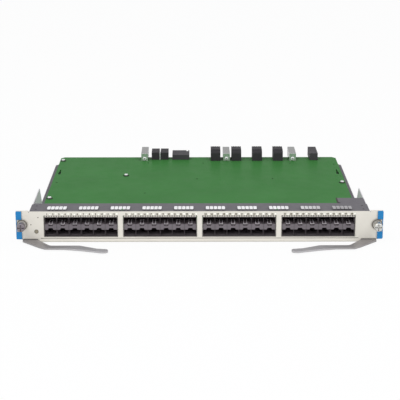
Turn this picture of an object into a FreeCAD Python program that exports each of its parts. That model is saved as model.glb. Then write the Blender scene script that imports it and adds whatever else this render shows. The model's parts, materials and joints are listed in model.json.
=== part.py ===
import FreeCAD, Part
import os
import Sketcher

# Line card with a front panel of 48 stacked ports, a board on a tray, ejector levers and captive screws.
# Lengths are in millimetres. Each piece is drawn from the front face of the panel (Y = 0), the card's
# middle (X = 0) and the underside of the tray (Z = 0), and then set back so that the row's origin is
# the middle of the tray's underside.

doc = FreeCAD.newDocument("line_card")
sheet = doc.addObject("Spreadsheet::Sheet", "Sizes")


class Dim:
    """A length as a formula of the sheet, with its present value for a sketch's first drawing."""

    def __init__(self, formula, value):
        self.formula = formula
        self.value = value

    def combine(self, other, sign, value):
        return Dim(f"({self.formula} {sign} {as_dim(other).formula})", value)

    def __add__(self, other):
        return self.combine(other, "+", self.value + as_dim(other).value)

    def __radd__(self, other):
        return as_dim(other) + self

    def __sub__(self, other):
        return self.combine(other, "-", self.value - as_dim(other).value)

    def __rsub__(self, other):
        return as_dim(other) - self

    def __mul__(self, other):
        return self.combine(other, "*", self.value * as_dim(other).value)

    def __rmul__(self, other):
        return as_dim(other) * self

    def __truediv__(self, other):
        return self.combine(other, "/", self.value / as_dim(other).value)

    def __neg__(self):
        return Dim(f"(0 - {self.formula})", -self.value)


def as_dim(number):
    """Turns a plain number into a constant length."""
    return number if isinstance(number, Dim) else Dim(str(number), number)


next_row = 1


def size(name, number):
    """Writes one driving dimension to the sheet and returns it."""
    global next_row
    sheet.set(f"A{next_row}", name)
    sheet.set(f"B{next_row}", str(number))
    sheet.setAlias(f"B{next_row}", name)
    next_row += 1
    return Dim(f"Sizes.{name}", number)


# Cages and the openings that they stand in
cage_count = 4
ports_per_row = size("ports_per_row", 6)
port_pitch = size("port_pitch", 14.25)
cage_wall = size("cage_wall", 0.4)
divider_thickness = size("divider_thickness", 0.5)
cage_foot_height = size("cage_foot_height", 0.7)
cage_foot_width = size("cage_foot_width", 1.4)
cage_height = size("cage_height", 23.6)
cage_front = size("cage_front", 0.3)
cage_length = size("cage_length", 48.0)
opening_side_gap = size("opening_side_gap", 0.65)
opening_top_gap = size("opening_top_gap", 2.1)
opening_bottom_gap = size("opening_bottom_gap", 0.7)
mullion_width = size("mullion_width", 5.9)

# Cage collars
collar_thickness = size("collar_thickness", 0.25)
collar_length = size("collar_length", 6.0)
top_fingers_per_port = size("top_fingers_per_port", 5)
bottom_fingers_per_port = size("bottom_fingers_per_port", 2)
side_fingers = size("side_fingers", 4)
side_finger_pitch = size("side_finger_pitch", 5.0)
finger_width = size("finger_width", 1.9)
finger_tip_gap = size("finger_tip_gap", 0.1)
finger_lean = size("finger_lean", 1.0)

# Separators and connectors inside the cages
lower_port_height = size("lower_port_height", 7.6)
separator_height = size("separator_height", 6.8)
separator_gap = size("separator_gap", 1.6)
latch_notch_mouth = size("latch_notch_mouth", 6.2)
latch_notch_root = size("latch_notch_root", 4.6)
latch_notch_height = size("latch_notch_height", 2.1)
latch_notch_length = size("latch_notch_length", 8.0)
connector_side_gap = size("connector_side_gap", 1.125)
connector_depth = size("connector_depth", 5.6)
connector_margin = size("connector_margin", 0.6)
contact_slot_margin = size("contact_slot_margin", 1.0)
contact_slot_height = size("contact_slot_height", 1.5)
contact_slot_depth = size("contact_slot_depth", 4.0)

# Front panel: its ends stand past the outer openings
panel_margin = size("panel_margin", 31.45)
panel_thickness = size("panel_thickness", 3.0)
ear_length = size("ear_length", 24.5)
ear_rise = size("ear_rise", 0.5)
ear_relief_width = size("ear_relief_width", 1.0)
ear_relief_depth = size("ear_relief_depth", 1.6)
ear_relief_gap = size("ear_relief_gap", 0.2)
rabbet_skin = size("rabbet_skin", 0.8)
groove_height = size("groove_height", 4.2)
groove_width = size("groove_width", 0.8)
groove_depth = size("groove_depth", 0.6)
groove_inset = size("groove_inset", 27.5)

# Tray, standoffs and board, with what lies near a side measured in from an edge
tray_inset = size("tray_inset", 11.0)
tray_thickness = size("tray_thickness", 1.2)
tray_corner = size("tray_corner", 15.0)
upstand_gap = size("upstand_gap", 0.5)
standoff_height = size("standoff_height", 2.6)
standoff_radius = size("standoff_radius", 3.0)
board_side_gap = size("board_side_gap", 0.5)
board_thickness = size("board_thickness", 2.4)
board_front_gap = size("board_front_gap", 1.5)
board_end = size("board_end", 360.0)
board_overhang = size("board_overhang", 10.0)
board_corner = size("board_corner", 5.0)
board_notch_room = size("board_notch_room", 5.0)
board_notch_depth = size("board_notch_depth", 30.0)
board_slot_edge = size("board_slot_edge", 5.5)
board_slot_from_end = size("board_slot_from_end", 66.1)
board_slot_length = size("board_slot_length", 11.8)
board_slot_wide = size("board_slot_wide", 3.3)
board_slot_narrow = size("board_slot_narrow", 1.7)
screw_shank_radius = size("screw_shank_radius", 1.3)
screw_clearance = size("screw_clearance", 0.15)
screw_head_radius = size("screw_head_radius", 2.6)
screw_head_height = size("screw_head_height", 1.3)
screw_first_edge = size("screw_first_edge", 4.5)
screw_first_from_end = size("screw_first_from_end", 19.4)
screw_second_from_end = size("screw_second_from_end", 204.0)
screw_third_edge = size("screw_third_edge", 4.7)
screw_third_from_end = size("screw_third_from_end", 132.0)
screw_fourth_edge = size("screw_fourth_edge", 98.2)
screw_fourth_from_end = size("screw_fourth_from_end", 97.0)

# Shield and its contact clips
sheet_thickness = size("sheet_thickness", 0.8)
shield_over_cages = size("shield_over_cages", 6.2)
shield_lap = size("shield_lap", 0.2)
shield_end = size("shield_end", 32.6)
shield_front_flange = size("shield_front_flange", 3.6)
shield_rear_lip = size("shield_rear_lip", 2.4)
shield_corner = size("shield_corner", 4.0)
shield_hole_edge = size("shield_hole_edge", 6.5)
shield_hole_front = size("shield_hole_front", 9.0)
shield_hole_rear = size("shield_hole_rear", 23.0)
shield_hole_radius = size("shield_hole_radius", 1.15)
clip_count = size("clip_count", 10)
clip_end_inset = size("clip_end_inset", 46.65)
clip_start = size("clip_start", 3.9)
clip_strip = size("clip_strip", 0.7)
clip_window = size("clip_window", 12.6)
clip_fingers = size("clip_fingers", 5)
clip_finger_pitch = size("clip_finger_pitch", 4.66)
clip_finger_width = size("clip_finger_width", 3.4)
clip_thickness = size("clip_thickness", 0.35)
clip_rise = size("clip_rise", 1.2)
clip_ramp = size("clip_ramp", 2.6)

# Corner bracket and side plates
bracket_width = size("bracket_width", 32.3)
bracket_length = size("bracket_length", 21.0)
bracket_gap = size("bracket_gap", 0.15)
bracket_flange = size("bracket_flange", 8.0)
bracket_notch = size("bracket_notch", 2.5)
side_plate_inset = size("side_plate_inset", 16.2)
side_plate_thickness = size("side_plate_thickness", 1.0)
side_plate_top_end = size("side_plate_top_end", 98.0)
side_plate_knee_length = size("side_plate_knee_length", 15.0)
side_plate_knee_height = size("side_plate_knee_height", 18.0)
side_plate_tail_length = size("side_plate_tail_length", 11.0)
side_plate_slope = size("side_plate_slope", 6.0)
pivot_head_gap = size("pivot_head_gap", 1.2)
side_foot_width = size("side_foot_width", 2.7)
side_foot_start = size("side_foot_start", 42.0)
side_foot_from_end = size("side_foot_from_end", 12.0)

# End caps
cap_width = size("cap_width", 6.5)
cap_wall = size("cap_wall", 1.0)
cap_round = size("cap_round", 1.4)
cap_flange_gap = size("cap_flange_gap", 0.1)
cap_gap_below = size("cap_gap_below", 8.9)

# Captive screws
screw_inset = size("screw_inset", 6.0)
screw_height = size("screw_height", 21.5)
running_gap = size("running_gap", 0.06)
hub_radius = size("hub_radius", 3.0)
hub_length = size("hub_length", 5.5)
flange_radius = size("flange_radius", 6.2)
flange_thickness = size("flange_thickness", 1.5)
shank_radius = size("shank_radius", 2.0)
screw_tip = size("screw_tip", 18.0)
knob_radius = size("knob_radius", 4.8)
knob_wall = size("knob_wall", 0.8)
knob_length = size("knob_length", 7.2)
knob_face = size("knob_face", 2.2)
knob_rear = size("knob_rear", 6.4)
knob_chamfer = size("knob_chamfer", 0.6)
driver_slot_width = size("driver_slot_width", 1.2)
driver_slot_depth = size("driver_slot_depth", 1.6)
ring_groove_depth = size("ring_groove_depth", 0.5)
ring_radius = size("ring_radius", 3.4)
ring_thickness = size("ring_thickness", 0.8)
ring_split_width = size("ring_split_width", 2.4)
ring_gap = size("ring_gap", 0.05)
spring_side_gap = size("spring_side_gap", 0.25)
spring_wire = size("spring_wire", 0.5)
spring_turns = size("spring_turns", 3)

# Ejector levers
lever_floor_gap = size("lever_floor_gap", 0.3)
lever_thickness = size("lever_thickness", 1.8)
lever_ear_gap = size("lever_ear_gap", 0.4)
lever_tip_radius = size("lever_tip_radius", 4.0)
lever_bend_radius = size("lever_bend_radius", 6.0)
pivot_edge = size("pivot_edge", 4.5)
lever_side_gap = size("lever_side_gap", 0.7)
pivot_depth = size("pivot_depth", 11.0)
pivot_radius = size("pivot_radius", 2.5)
pivot_head_radius = size("pivot_head_radius", 4.4)
pivot_head_height = size("pivot_head_height", 1.2)

# The lever's outline, from its root beside the panel's ear notch round the handle and back behind the
# panel: how far each point lies in from the panel's end, and how far behind its front face
lever_root = ear_length - lever_side_gap
lever_points = {"root_front": (lever_root, -size("lever_root_front", 0.8))}
for name, inset, depth in (
        ("first_bend", 40.2, -22.5), ("second_bend", 74.7, -22.5),
        ("handle_top", 95.9, -33.4), ("tip_top", 109.3, -35.8), ("tip_bottom", 108.7, -44.6),
        ("handle_bottom", 102.0, -45.2), ("under_handle", 76.5, -37.0), ("under_arm", 57.5, -32.7),
        ("elbow", 35.5, -32.0), ("outer_bend", 28.1, -26.4), ("root_outer", 6.7, -5.0),
        ("ear_passage", 6.7, 4.5), ("cam_front", 1.3, 5.8), ("cam_rear", 1.3, 12.2),
        ("cam_heel", 7.0, 17.5), ("heel", 16.5, 19.5)):
    lever_points[name] = (size(f"lever_{name}_inset", inset), size(f"lever_{name}_depth", depth))
lever_points["heel_inner"] = (lever_root, size("lever_heel_inner_depth", 15.5))
LEVER_BENDS = ("first_bend", "second_bend")
LEVER_TIP = ("tip_top", "tip_bottom")

# Pieces on the board's rear edge: the first signal connector is measured from the panel's right end,
# and each other piece from its neighbour
signal_count = 4
signal_first_inset = size("signal_first_inset", 189.9)
signal_pitch = size("signal_pitch", 29.73)
signal_width = size("signal_width", 13.7)
signal_seat = size("signal_seat", 20.0)
signal_length = size("signal_length", 25.0)
signal_height = size("signal_height", 15.0)
signal_round = size("signal_round", 3.0)
signal_step_height = size("signal_step_height", 3.4)
signal_step_depth = size("signal_step_depth", 1.0)
signal_groove_count = size("signal_groove_count", 4)
signal_rib_pitch = size("signal_rib_pitch", 3.4)
signal_groove = size("signal_groove", 1.4)
signal_groove_depth = size("signal_groove_depth", 1.6)
signal_hook = size("signal_hook", 6.0)
power_to_guide_1 = size("power_to_guide_1", 21.85)
guide_2_offset = size("guide_2_offset", 0.635)
signal_to_guide_3 = size("signal_to_guide_3", 20.91)
guide_width = size("guide_width", 9.6)
guide_seat = size("guide_seat", 20.0)
guide_length = size("guide_length", 41.5)
guide_height = size("guide_height", 10.5)
guide_bore_radius = size("guide_bore_radius", 3.0)
guide_bore_length = size("guide_bore_length", 28.0)
guide_chamfer = size("guide_chamfer", 1.2)
guide_nose = size("guide_nose", 2.4)
wide_to_power = size("wide_to_power", 29.85)
power_width = size("power_width", 24.0)
power_seat = size("power_seat", 13.0)
power_length = size("power_length", 24.0)
power_height = size("power_height", 10.2)
power_gap = size("power_gap", 1.6)
power_base = size("power_base", 3.0)
power_wall = size("power_wall", 2.2)
power_socket_depth = size("power_socket_depth", 8.0)
signal_to_wide = size("signal_to_wide", 49.9)
wide_width = size("wide_width", 24.4)
wide_seat = size("wide_seat", 13.0)
wide_length = size("wide_length", 27.0)
wide_height = size("wide_height", 6.8)
wide_notch_inset = size("wide_notch_inset", 1.6)
wide_notch_width = size("wide_notch_width", 2.6)
wide_notch_length = size("wide_notch_length", 5.2)
wide_wall = size("wide_wall", 2.6)
wide_mouth_depth = size("wide_mouth_depth", 10.4)
guide_to_end = size("guide_to_end", 30.5)
end_width = size("end_width", 11.3)
end_seat = size("end_seat", 17.0)
end_length = size("end_length", 38.0)
end_height = size("end_height", 10.0)
end_wall = size("end_wall", 1.9)
end_mouth_depth = size("end_mouth_depth", 11.3)

# Status lens
lens_inset = size("lens_inset", 22.7)
lens_height = size("lens_height", 13.0)
lens_radius = size("lens_radius", 1.9)
lens_gap = size("lens_gap", 0.05)
lens_proud = size("lens_proud", 0.2)
lens_stem = size("lens_stem", 1.9)

# Widths that follow from the ports
cage_inner_half = (ports_per_row * port_pitch - divider_thickness) / 2
cage_half_width = cage_inner_half + cage_wall
opening_half_width = cage_half_width + opening_side_gap
cage_pitch = opening_half_width * 2 + mullion_width
cage_middles = [cage_pitch * (number - (cage_count - 1) / 2) for number in range(cage_count)]
panel_half_width = cage_middles[-1] + opening_half_width + panel_margin


def from_end(inset):
    """The place across that lies in from the panel's right end by an inset."""
    return panel_half_width - inset


tray_half_width = from_end(tray_inset)
side_plate_inner = from_end(side_plate_inset)
board_half_width = side_plate_inner - board_side_gap
board_notch = from_end(ear_length + board_notch_room)
shield_half_width = side_plate_inner + side_plate_thickness + shield_lap
screw_across = from_end(screw_inset)
pivot_across = tray_half_width - pivot_edge
lens_across = -from_end(lens_inset)
port_width = port_pitch - divider_thickness
connector_width = port_width - connector_side_gap * 2

# Places across of the pieces on the board's rear edge
signal_places = [
    from_end(signal_first_inset) + signal_pitch * number for number in range(signal_count)]
wide_middle = signal_places[0] - signal_to_wide
power_middle = wide_middle - wide_to_power
guide_places = [
    power_middle - power_to_guide_1,
    (signal_places[0] + signal_places[1]) / 2 + guide_2_offset,
    signal_places[-1] + signal_to_guide_3,
]
end_middle = guide_places[-1] + guide_to_end

# Heights, one on another
board_bottom = tray_thickness + standoff_height
board_top = board_bottom + board_thickness
cage_bottom = board_top + cage_foot_height
cage_top = cage_bottom + cage_height
separator_bottom = cage_bottom + cage_wall + lower_port_height
separator_top = separator_bottom + separator_height
shield_under = cage_top + shield_over_cages
shield_top = shield_under + sheet_thickness
panel_height = shield_top + ear_rise
lever_bottom = tray_thickness + lever_floor_gap
lever_top = lever_bottom + lever_thickness
ear_bottom = lever_top + lever_ear_gap
pivot_head_bottom = lever_top + lever_floor_gap
pivot_head_top = pivot_head_bottom + pivot_head_height

# Depths behind the panel's front face
tray_end = board_end - board_overhang
origin_depth = panel_thickness + (tray_end - panel_thickness) / 2
board_front = panel_thickness + board_front_gap
cage_end = cage_front + cage_length
connector_front = cage_end - cage_wall - connector_depth
clip_window_start = clip_start + clip_strip
clip_window_end = clip_window_start + clip_window
side_plate_knee = side_plate_top_end + side_plate_knee_length
side_plate_end = side_plate_knee + side_plate_tail_length
knob_front = knob_rear + knob_length
knob_bore_radius = knob_radius - knob_wall
bore_end = knob_face - knob_front
ring_front = hub_length + ring_gap
ring_rear = ring_front + ring_thickness
groove_radius = shank_radius - ring_groove_depth

# The first contact clip, which the others follow
clip_half_width = (clip_finger_pitch * (clip_fingers - 1) + clip_finger_width) / 2
clip_pitch = from_end(clip_end_inset) * 2 / (clip_count - 1)
first_clip_left = -from_end(clip_end_inset) - clip_half_width
first_clip_right = first_clip_left + clip_half_width * 2

# Places of the board's screws, as across and depth
screw_places = [
    (screw_first_edge - board_half_width, board_end - screw_first_from_end),
    (screw_first_edge - board_half_width, board_end - screw_second_from_end),
    (board_half_width - screw_third_edge, board_end - screw_third_from_end),
    (screw_fourth_edge - board_half_width, board_end - screw_fourth_from_end),
]

# Each view's plane, and the sign of its axis along the sketch's own normal
VIEWS = {"front": ("XZ_Plane", -1), "top": ("XY_Plane", 1), "side": ("YZ_Plane", 1)}
VIEW_AXES = {"front": ("x", "z"), "top": ("x", "y")}
HEXAGON_RISE = round(3 ** 0.5 / 2, 6)
bodies = []


def new_body(label, across=0, up=0):
    """Starts one piece, with its own origin at the given place on the panel's front face."""
    body = doc.addObject("PartDesign::Body", label)
    body.Label = label
    body.setExpression("Placement.Base.x", as_dim(across).formula)
    body.setExpression("Placement.Base.y", (-origin_depth).formula)
    body.setExpression("Placement.Base.z", as_dim(up).formula)
    bodies.append(body)
    return body


def origin_feature(body, role):
    return next(item for item in body.Origin.OriginFeatures if item.Role == role)


def hold(sketch, kind, place, length):
    """Adds one dimension, driven by the sheet."""
    length = as_dim(length)
    index = sketch.addConstraint(Sketcher.Constraint(kind, *place, length.value))
    sketch.setExpression(f"Constraints[{index}]", length.formula)


def polygon(points):
    """A closed outline of straight lines through pairs of lengths."""
    points = [(as_dim(across), as_dim(up)) for across, up in points]

    def draw(sketch):
        ends = points[1:] + points[:1]
        first = sketch.GeometryCount
        for (x1, y1), (x2, y2) in zip(points, ends):
            start = FreeCAD.Vector(x1.value, y1.value, 0)
            end = FreeCAD.Vector(x2.value, y2.value, 0)
            sketch.addGeometry(Part.LineSegment(start, end), False)
        for index, (across, up) in enumerate(points):
            following = first + (index + 1) % len(points)
            sketch.addConstraint(Sketcher.Constraint("Coincident", first + index, 2, following, 1))
            hold(sketch, "DistanceX", (first + index, 1), across)
            hold(sketch, "DistanceY", (first + index, 1), up)

    return draw


def rectangle(left, bottom, right, top):
    return polygon([(left, bottom), (right, bottom), (right, top), (left, top)])


def hexagon(across, up, radius):
    half = radius / 2
    rise = radius * HEXAGON_RISE
    return polygon([
        (across + radius, up), (across + half, up + rise), (across - half, up + rise),
        (across - radius, up), (across - half, up - rise), (across + half, up - rise),
    ])


def circle(across, up, radius):
    across = as_dim(across)
    up = as_dim(up)

    def draw(sketch):
        centre = FreeCAD.Vector(across.value, up.value, 0)
        index = sketch.addGeometry(Part.Circle(centre, FreeCAD.Vector(0, 0, 1), radius.value), False)
        hold(sketch, "DistanceX", (index, 3), across)
        hold(sketch, "DistanceY", (index, 3), up)
        hold(sketch, "Radius", (index,), radius)

    return draw


def add_sketch(body, name, view, start, outlines):
    plane, sign = VIEWS[view]
    sketch = body.newObject("Sketcher::SketchObject", name + "_sketch")
    sketch.AttachmentSupport = [(origin_feature(body, plane), "")]
    sketch.MapMode = "FlatFace"
    sketch.setExpression("AttachmentOffset.Base.z", (sign * as_dim(start)).formula)
    for draw in outlines:
        draw(sketch)
    return sketch


def extrude(body, name, view, start, end, outlines, cut=False):
    """Pads or pockets outlines across a view, from one place along its axis to a higher one."""
    sketch = add_sketch(body, name, view, start, outlines)
    feature = body.newObject("PartDesign::Pocket" if cut else "PartDesign::Pad", name)
    feature.Profile = sketch
    forward = VIEWS[view][1] > 0
    feature.Reversed = forward if cut else not forward
    feature.setExpression("Length", (as_dim(end) - start).formula)
    return feature


def revolve(body, name, view, points, cut=False):
    """Turns an outline of radius and height about the body's own upright or front-to-back axis."""
    sketch = add_sketch(body, name, view, 0, [polygon(points)])
    feature = body.newObject("PartDesign::Groove" if cut else "PartDesign::Revolution", name)
    feature.Profile = sketch
    feature.ReferenceAxis = (sketch, ["V_Axis"])
    feature.Angle = 360
    return feature


def repeat(body, name, originals, axis, count, pitch):
    """Copies features in a row along the body's X or Z axis."""
    pattern = body.newObject("PartDesign::LinearPattern", name)
    pattern.Originals = originals
    pattern.Direction = (origin_feature(body, axis), [""])
    pattern.setExpression("Occurrences", count.formula)
    pattern.setExpression("Length", ((count - 1) * pitch).formula)
    body.Tip = pattern
    return pattern


def round_edges(body, name, base, radius, chosen):
    """Rounds the edges of a feature for which chosen(edge) is true."""
    doc.recompute()
    names = [f"Edge{number + 1}" for number, edge in enumerate(base.Shape.Edges) if chosen(edge)]
    fillet = body.newObject("PartDesign::Fillet", name)
    fillet.Base = (base, names)
    fillet.setExpression("Radius", radius.formula)
    body.Tip = fillet
    return fillet


def near(value, target, tolerance=0.05):
    return abs(value - target) < tolerance


def edges_seen_at(view, places):
    """Chooses the straight edges that are seen end on at one of some places of a view."""
    first, second = VIEW_AXES[view]

    def chosen(edge):
        start, end = edge.Vertexes[0].Point, edge.Vertexes[-1].Point
        if not all(near(getattr(start, axis), getattr(end, axis)) for axis in (first, second)):
            return False
        return any(near(getattr(start, first), across.value) and near(getattr(start, second), up.value)
                   for across, up in places)

    return chosen


# Front panel: an upright plate, notched at its bottom corners for the levers, and with a rabbet along
# its top for the shield, which ends in a small relief cut beside each ear
def front_panel():
    body = new_body("front_panel")
    edge = panel_half_width
    notch = from_end(ear_length)
    relief_inner = shield_half_width + ear_relief_gap
    relief_outer = relief_inner + ear_relief_width
    relief_bottom = panel_height - ear_relief_depth
    right_half = [
        (notch, 0), (notch, ear_bottom), (edge, ear_bottom), (edge, panel_height),
        (relief_outer, panel_height), (relief_outer, relief_bottom),
        (relief_inner, relief_bottom), (relief_inner, shield_top),
    ]
    left_half = [(-across, up) for across, up in reversed(right_half)]
    extrude(body, "plate", "front", 0, panel_thickness, [polygon(right_half + left_half)])
    windows = []
    for middle in cage_middles:
        windows.append(rectangle(
            middle - opening_half_width, cage_bottom - opening_bottom_gap,
            middle + opening_half_width, cage_top + opening_top_gap))
    extrude(body, "port_openings", "front", 0, panel_thickness, windows, cut=True)
    holes = [circle(side * screw_across, screw_height, hub_radius + running_gap) for side in (-1, 1)]
    holes.append(circle(lens_across, lens_height, lens_radius + lens_gap))
    extrude(body, "round_holes", "front", 0, panel_thickness, holes, cut=True)
    groove_end = from_end(groove_inset)
    groove = rectangle(-groove_end, groove_height, groove_end, groove_height + groove_width)
    extrude(body, "shadow_groove", "front", 0, groove_depth, [groove], cut=True)
    rabbet = rectangle(-relief_inner, rabbet_skin, relief_inner, panel_thickness)
    extrude(body, "shield_rabbet", "top", shield_under, shield_top, [rabbet], cut=True)


# End cap: a moulded strip round the panel's end with rounded corners, open for the captive screw
def end_cap(name, side):
    body = new_body(name)
    outer = side * (panel_half_width + cap_wall)
    inner = outer - side * cap_width
    end = side * panel_half_width
    section = [
        (inner, -cap_wall), (outer, -cap_wall), (outer, panel_thickness),
        (end, panel_thickness), (end, 0), (inner, 0),
    ]
    strip = extrude(body, "strip", "top", ear_bottom, panel_height, [polygon(section)])
    corners = [(outer, ear_bottom), (outer, panel_height)]
    round_edges(body, "corners", strip, cap_round, edges_seen_at("front", corners))
    gap_top = screw_height + flange_radius + cap_flange_gap
    gap = rectangle(inner, screw_height - cap_gap_below, outer, gap_top)
    extrude(body, "screw_gap", "front", -cap_wall, 0, [gap], cut=True)


# Cage shell: a folded box open at the front, on small feet
def cage_shell(name, middle):
    body = new_body(name, middle)
    outer = rectangle(-cage_half_width, cage_bottom, cage_half_width, cage_top)
    extrude(body, "box", "front", cage_front, cage_end, [outer])
    inner = rectangle(
        -cage_inner_half, cage_bottom + cage_wall, cage_inner_half, cage_top - cage_wall)
    extrude(body, "cavity", "front", cage_front, cage_end - cage_wall, [inner], cut=True)
    feet = []
    for depth in (cage_length / 4, cage_length * 3 / 4):
        for across in (-cage_half_width, -cage_foot_width / 2, cage_half_width - cage_foot_width):
            feet.append(rectangle(across, depth, across + cage_foot_width, depth + cage_foot_width))
    extrude(body, "feet", "top", board_top, cage_bottom, feet)


# Cage dividers: upright sheets between neighbouring ports
def cage_dividers(name, middle):
    body = new_body(name, middle)
    left = port_width - cage_inner_half
    outline = rectangle(
        left, cage_bottom + cage_wall, left + divider_thickness, cage_top - cage_wall)
    first = extrude(
        body, "divider", "front", cage_front + cage_wall, cage_end - cage_wall, [outline])
    repeat(body, "divider_row", [first], "X_Axis", ports_per_row - 1, port_pitch)


# Cage separators: one between the upper and lower port of each column, notched for the module latches
def cage_separators(name, middle):
    body = new_body(name, middle)
    left = -cage_inner_half
    right = left + port_width
    middle_of_port = (left + right) / 2
    mouth = latch_notch_mouth / 2
    root = latch_notch_root / 2
    start = cage_front + cage_wall
    block = extrude(
        body, "separator", "front", start, connector_front - separator_gap,
        [rectangle(left, separator_bottom, right, separator_top)])
    notches = []
    for edge, way in ((separator_bottom, 1), (separator_top, -1)):
        floor = edge + way * latch_notch_height
        notches.append(polygon([
            (middle_of_port - mouth, edge), (middle_of_port + mouth, edge),
            (middle_of_port + root, floor), (middle_of_port - root, floor),
        ]))
    cut = extrude(body, "latch_notches", "front", start, start + latch_notch_length, notches, cut=True)
    repeat(body, "separator_row", [block, cut], "X_Axis", ports_per_row, port_pitch)


# Cage collar: a thin sleeve round the cage's mouth with leaning spring fingers on all four sides
def cage_collar(name, middle):
    body = new_body(name, middle)
    left = -cage_half_width - collar_thickness
    bottom = cage_bottom - collar_thickness
    top = cage_top + collar_thickness
    start = cage_front + collar_thickness
    end = start + collar_length
    extrude(body, "sleeve", "front", start, end, [
        rectangle(left, bottom, -left, top),
        rectangle(-cage_half_width, cage_bottom, cage_half_width, cage_top),
    ])
    tip_start = start + finger_lean
    tip_end = tip_start + collar_thickness
    top_rise = opening_top_gap - collar_thickness - finger_tip_gap
    bottom_rise = opening_bottom_gap - collar_thickness - finger_tip_gap
    for finger, seat, tip, per_port in (
            ("top_finger", top, top + top_rise, top_fingers_per_port),
            ("bottom_finger", bottom, bottom - bottom_rise, bottom_fingers_per_port)):
        pitch = port_pitch / per_port
        count = ports_per_row * per_port
        row_left = -((count - 1) * pitch + finger_width) / 2
        outline = polygon([
            (start, seat), (start + collar_thickness, seat), (tip_end, tip), (tip_start, tip)])
        tab = extrude(body, finger, "side", row_left, row_left + finger_width, [outline])
        repeat(body, finger + "_row", [tab], "X_Axis", count, pitch)
    side_low = (bottom + top - (side_fingers - 1) * side_finger_pitch - finger_width) / 2
    side_rise = opening_side_gap - collar_thickness - finger_tip_gap
    for finger, seat, tip in (
            ("left_finger", left, left - side_rise), ("right_finger", -left, side_rise - left)):
        outline = polygon([
            (seat, start), (seat, start + collar_thickness), (tip, tip_end), (tip, tip_start)])
        tab = extrude(body, finger, "top", side_low, side_low + finger_width, [outline])
        repeat(body, finger + "_row", [tab], "Z_Axis", side_fingers, side_finger_pitch)


# Port connectors: one stacked block at the back of each column, with a contact slot for each port
def port_connectors(name, middle):
    body = new_body(name, middle)
    column_left = connector_side_gap - cage_inner_half
    bottom = cage_bottom + cage_wall
    outline = rectangle(
        column_left, bottom, column_left + connector_width, cage_top - cage_wall - connector_margin)
    block = extrude(body, "block", "front", connector_front, cage_end - cage_wall, [outline])
    slot_left = column_left + contact_slot_margin
    slot_right = column_left + connector_width - contact_slot_margin
    slots = []
    for low, high in ((bottom, separator_bottom), (separator_top, cage_top - cage_wall)):
        slot_bottom = (low + high - contact_slot_height) / 2
        slots.append(rectangle(
            slot_left, slot_bottom, slot_right, slot_bottom + contact_slot_height))
    slot_end = connector_front + contact_slot_depth
    cut = extrude(body, "contact_slots", "front", connector_front, slot_end, slots, cut=True)
    repeat(body, "connector_row", [block, cut], "X_Axis", ports_per_row, port_pitch)


# Tray: a flat sheet with chamfered rear corners, and an upstand that carries the board's front edge
def tray():
    body = new_body("tray")
    edge = tray_half_width
    corner_start = tray_end - tray_corner
    outline = [
        (-edge, panel_thickness), (edge, panel_thickness), (edge, corner_start),
        (edge - tray_corner, tray_end), (tray_corner - edge, tray_end), (-edge, corner_start),
    ]
    extrude(body, "floor", "top", 0, tray_thickness, [polygon(outline)])
    upstand_end = board_notch - upstand_gap
    upstand = rectangle(-upstand_end, board_front, upstand_end, board_front + tray_thickness)
    extrude(body, "front_upstand", "top", tray_thickness, board_bottom, [upstand])
    holes = [circle(side * pivot_across, pivot_depth, pivot_radius + running_gap) for side in (-1, 1)]
    extrude(body, "pivot_holes", "top", 0, tray_thickness, holes, cut=True)


# Circuit board: cut back at its front corners for the levers, with a stepped keying slot near each side
def circuit_board():
    body = new_body("circuit_board")
    edge = board_half_width
    notch = board_notch
    corner = board_end - board_corner
    outline = [
        (-notch, board_front), (notch, board_front), (notch, board_notch_depth),
        (edge, board_notch_depth), (edge, corner), (edge - board_corner, board_end),
        (board_corner - edge, board_end), (-edge, corner),
        (-edge, board_notch_depth), (-notch, board_notch_depth),
    ]
    extrude(body, "laminate", "top", board_bottom, board_top, [polygon(outline)])
    hole_radius = screw_shank_radius + screw_clearance
    holes = [circle(across, depth, hole_radius) for across, depth in screw_places]
    extrude(body, "screw_holes", "top", board_bottom, board_top, holes, cut=True)
    rear = board_end - board_slot_from_end
    step = rear - board_slot_length
    front = step - board_slot_length
    wide = board_slot_wide / 2
    narrow = board_slot_narrow / 2
    slots = []
    for side in (-1, 1):
        middle = side * (board_half_width - board_slot_edge)
        slots.append(polygon([
            (middle - wide, front), (middle + wide, front), (middle + wide, step), (middle + narrow, step),
            (middle + narrow, rear), (middle - narrow, rear), (middle - narrow, step), (middle - wide, step),
        ]))
    extrude(body, "keying_slots", "top", board_bottom, board_top, slots, cut=True)


def board_standoffs():
    body = new_body("board_standoffs")
    posts = [hexagon(across, depth, standoff_radius) for across, depth in screw_places]
    extrude(body, "posts", "top", tray_thickness, board_bottom, posts)


def board_screws():
    body = new_body("board_screws")
    shanks = [circle(across, depth, screw_shank_radius) for across, depth in screw_places]
    extrude(body, "shanks", "top", board_bottom, board_top, shanks)
    heads = [hexagon(across, depth, screw_head_radius) for across, depth in screw_places]
    extrude(body, "heads", "top", board_top, board_top + screw_head_height, heads)


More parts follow.
